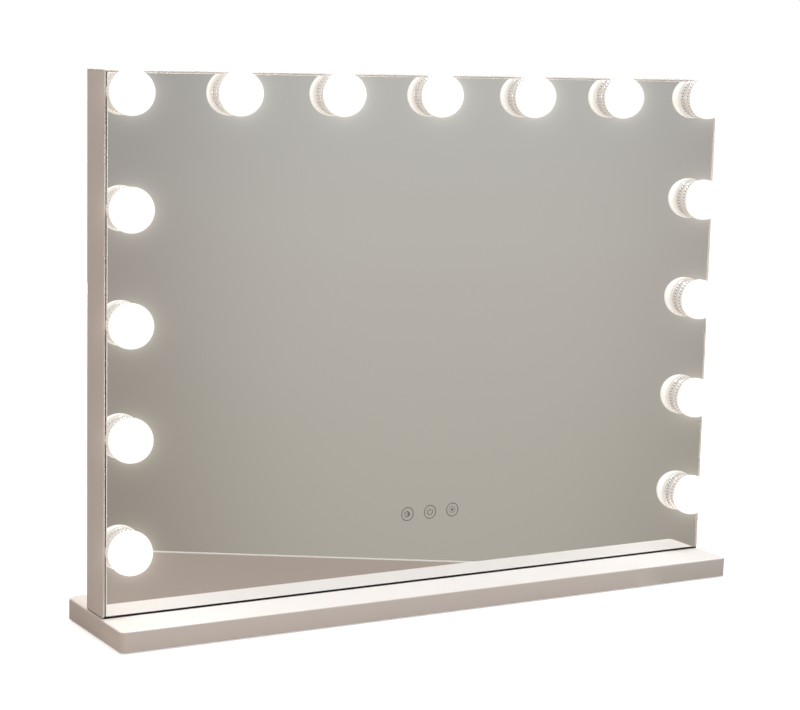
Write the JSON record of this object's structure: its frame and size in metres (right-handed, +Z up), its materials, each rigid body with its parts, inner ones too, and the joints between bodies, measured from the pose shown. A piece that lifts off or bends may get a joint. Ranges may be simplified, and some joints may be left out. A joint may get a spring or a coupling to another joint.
{
  "type": "lighted vanity mirror",
  "caption": "Flat framed tabletop mirror on a long flat base, with screw-in globe bulbs along its top and sides and back-lit touch keys in the glass.",
  "frame": {"origin": "on the table, under the middle of the base's footprint", "axes": "+Z up, the mirror faces -Y, +X to the viewer's right"},
  "size_m": [0.583, 0.12, 0.445],
  "materials": {
    "white_paint": "satin",
    "silvered_glass": "polished",
    "frosted_globe": "satin",
    "bulb_chrome": "polished",
    "black_tape": "matte",
    "backing": "matte",
    "white_plastic": "satin",
    "circuit_board": "satin",
    "wire_sleeve": "satin",
    "black_plastic": "satin",
    "zinc": "satin",
    "foot_rubber": "matte"
  },
  "bodies": {
    "mirror_body": {"frame_left": "white_paint", "frame_right": "white_paint", "frame_top": "white_paint", "frame_bottom": "white_paint", "back_panel": "white_paint", "base_shell": "white_paint", "base_bottom_cover": "white_paint", "corner_bracket_top_left": "zinc", "corner_bracket_top_right": "zinc", "corner_bracket_bottom_left": "zinc", "corner_bracket_bottom_right": "zinc", "base_bolt_left": "zinc", "base_bolt_right": "zinc", "frame_nut_left": "zinc", "frame_nut_right": "zinc", "mirror_glass": "silvered_glass", "glass_gasket": "black_tape", "backing_board": "backing", "socket_rail_top": "white_plastic", "socket_rail_left": "white_plastic", "socket_rail_right": "white_plastic", "control_board": "circuit_board", "touch_sensor_board": "circuit_board", "wiring_harness": "wire_sleeve", "dc_jack": "black_plastic", "usb_port": "black_plastic", "rubber_foot_front_left": "foot_rubber", "rubber_foot_front_right": "foot_rubber", "rubber_foot_rear_left": "foot_rubber", "rubber_foot_rear_right": "foot_rubber"},
    "bulb_01": {"bulb_globe_01": "frosted_globe", "bulb_base_01": "bulb_chrome"},
    "bulb_02": {"bulb_globe_02": "frosted_globe", "bulb_base_02": "bulb_chrome"},
    "bulb_03": {"bulb_globe_03": "frosted_globe", "bulb_base_03": "bulb_chrome"},
    "bulb_04": {"bulb_globe_04": "frosted_globe", "bulb_base_04": "bulb_chrome"},
    "bulb_05": {"bulb_globe_05": "frosted_globe", "bulb_base_05": "bulb_chrome"},
    "bulb_06": {"bulb_globe_06": "frosted_globe", "bulb_base_06": "bulb_chrome"},
    "bulb_07": {"bulb_globe_07": "frosted_globe", "bulb_base_07": "bulb_chrome"},
    "bulb_08": {"bulb_globe_08": "frosted_globe", "bulb_base_08": "bulb_chrome"},
    "bulb_09": {"bulb_globe_09": "frosted_globe", "bulb_base_09": "bulb_chrome"},
    "bulb_10": {"bulb_globe_10": "frosted_globe", "bulb_base_10": "bulb_chrome"},
    "bulb_11": {"bulb_globe_11": "frosted_globe", "bulb_base_11": "bulb_chrome"},
    "bulb_12": {"bulb_globe_12": "frosted_globe", "bulb_base_12": "bulb_chrome"},
    "bulb_13": {"bulb_globe_13": "frosted_globe", "bulb_base_13": "bulb_chrome"},
    "bulb_14": {"bulb_globe_14": "frosted_globe", "bulb_base_14": "bulb_chrome"},
    "bulb_15": {"bulb_globe_15": "frosted_globe", "bulb_base_15": "bulb_chrome"}
  },
  "joints": [
    {"name": "bulb_01_unscrew", "type": "hinge", "parent": "mirror_body", "child": "bulb_01", "pos_m": [-0.272, -0.0296, 0.4274], "axis": [0, -1, 0], "range_deg": [0, 900]},
    {"name": "bulb_02_unscrew", "type": "hinge", "parent": "mirror_body", "child": "bulb_02", "pos_m": [-0.18133, -0.0296, 0.4274], "axis": [0, -1, 0], "range_deg": [0, 900]},
    {"name": "bulb_03_unscrew", "type": "hinge", "parent": "mirror_body", "child": "bulb_03", "pos_m": [-0.09067, -0.0296, 0.4274], "axis": [0, -1, 0], "range_deg": [0, 900]},
    {"name": "bulb_04_unscrew", "type": "hinge", "parent": "mirror_body", "child": "bulb_04", "pos_m": [0, -0.0296, 0.4274], "axis": [0, -1, 0], "range_deg": [0, 900]},
    {"name": "bulb_05_unscrew", "type": "hinge", "parent": "mirror_body", "child": "bulb_05", "pos_m": [0.09067, -0.0296, 0.4274], "axis": [0, -1, 0], "range_deg": [0, 900]},
    {"name": "bulb_06_unscrew", "type": "hinge", "parent": "mirror_body", "child": "bulb_06", "pos_m": [0.18133, -0.0296, 0.4274], "axis": [0, -1, 0], "range_deg": [0, 900]},
    {"name": "bulb_07_unscrew", "type": "hinge", "parent": "mirror_body", "child": "bulb_07", "pos_m": [0.272, -0.0296, 0.4274], "axis": [0, -1, 0], "range_deg": [0, 900]},
    {"name": "bulb_08_unscrew", "type": "hinge", "parent": "mirror_body", "child": "bulb_08", "pos_m": [-0.272, -0.0296, 0.3385], "axis": [0, -1, 0], "range_deg": [0, 900]},
    {"name": "bulb_09_unscrew", "type": "hinge", "parent": "mirror_body", "child": "bulb_09", "pos_m": [-0.272, -0.0296, 0.2496], "axis": [0, -1, 0], "range_deg": [0, 900]},
    {"name": "bulb_10_unscrew", "type": "hinge", "parent": "mirror_body", "child": "bulb_10", "pos_m": [-0.272, -0.0296, 0.1607], "axis": [0, -1, 0], "range_deg": [0, 900]},
    {"name": "bulb_11_unscrew", "type": "hinge", "parent": "mirror_body", "child": "bulb_11", "pos_m": [-0.272, -0.0296, 0.0718], "axis": [0, -1, 0], "range_deg": [0, 900]},
    {"name": "bulb_12_unscrew", "type": "hinge", "parent": "mirror_body", "child": "bulb_12", "pos_m": [0.272, -0.0296, 0.3385], "axis": [0, -1, 0], "range_deg": [0, 900]},
    {"name": "bulb_13_unscrew", "type": "hinge", "parent": "mirror_body", "child": "bulb_13", "pos_m": [0.272, -0.0296, 0.2496], "axis": [0, -1, 0], "range_deg": [0, 900]},
    {"name": "bulb_14_unscrew", "type": "hinge", "parent": "mirror_body", "child": "bulb_14", "pos_m": [0.272, -0.0296, 0.1607], "axis": [0, -1, 0], "range_deg": [0, 900]},
    {"name": "bulb_15_unscrew", "type": "hinge", "parent": "mirror_body", "child": "bulb_15", "pos_m": [0.272, -0.0296, 0.0718], "axis": [0, -1, 0], "range_deg": [0, 900]}
  ]
}
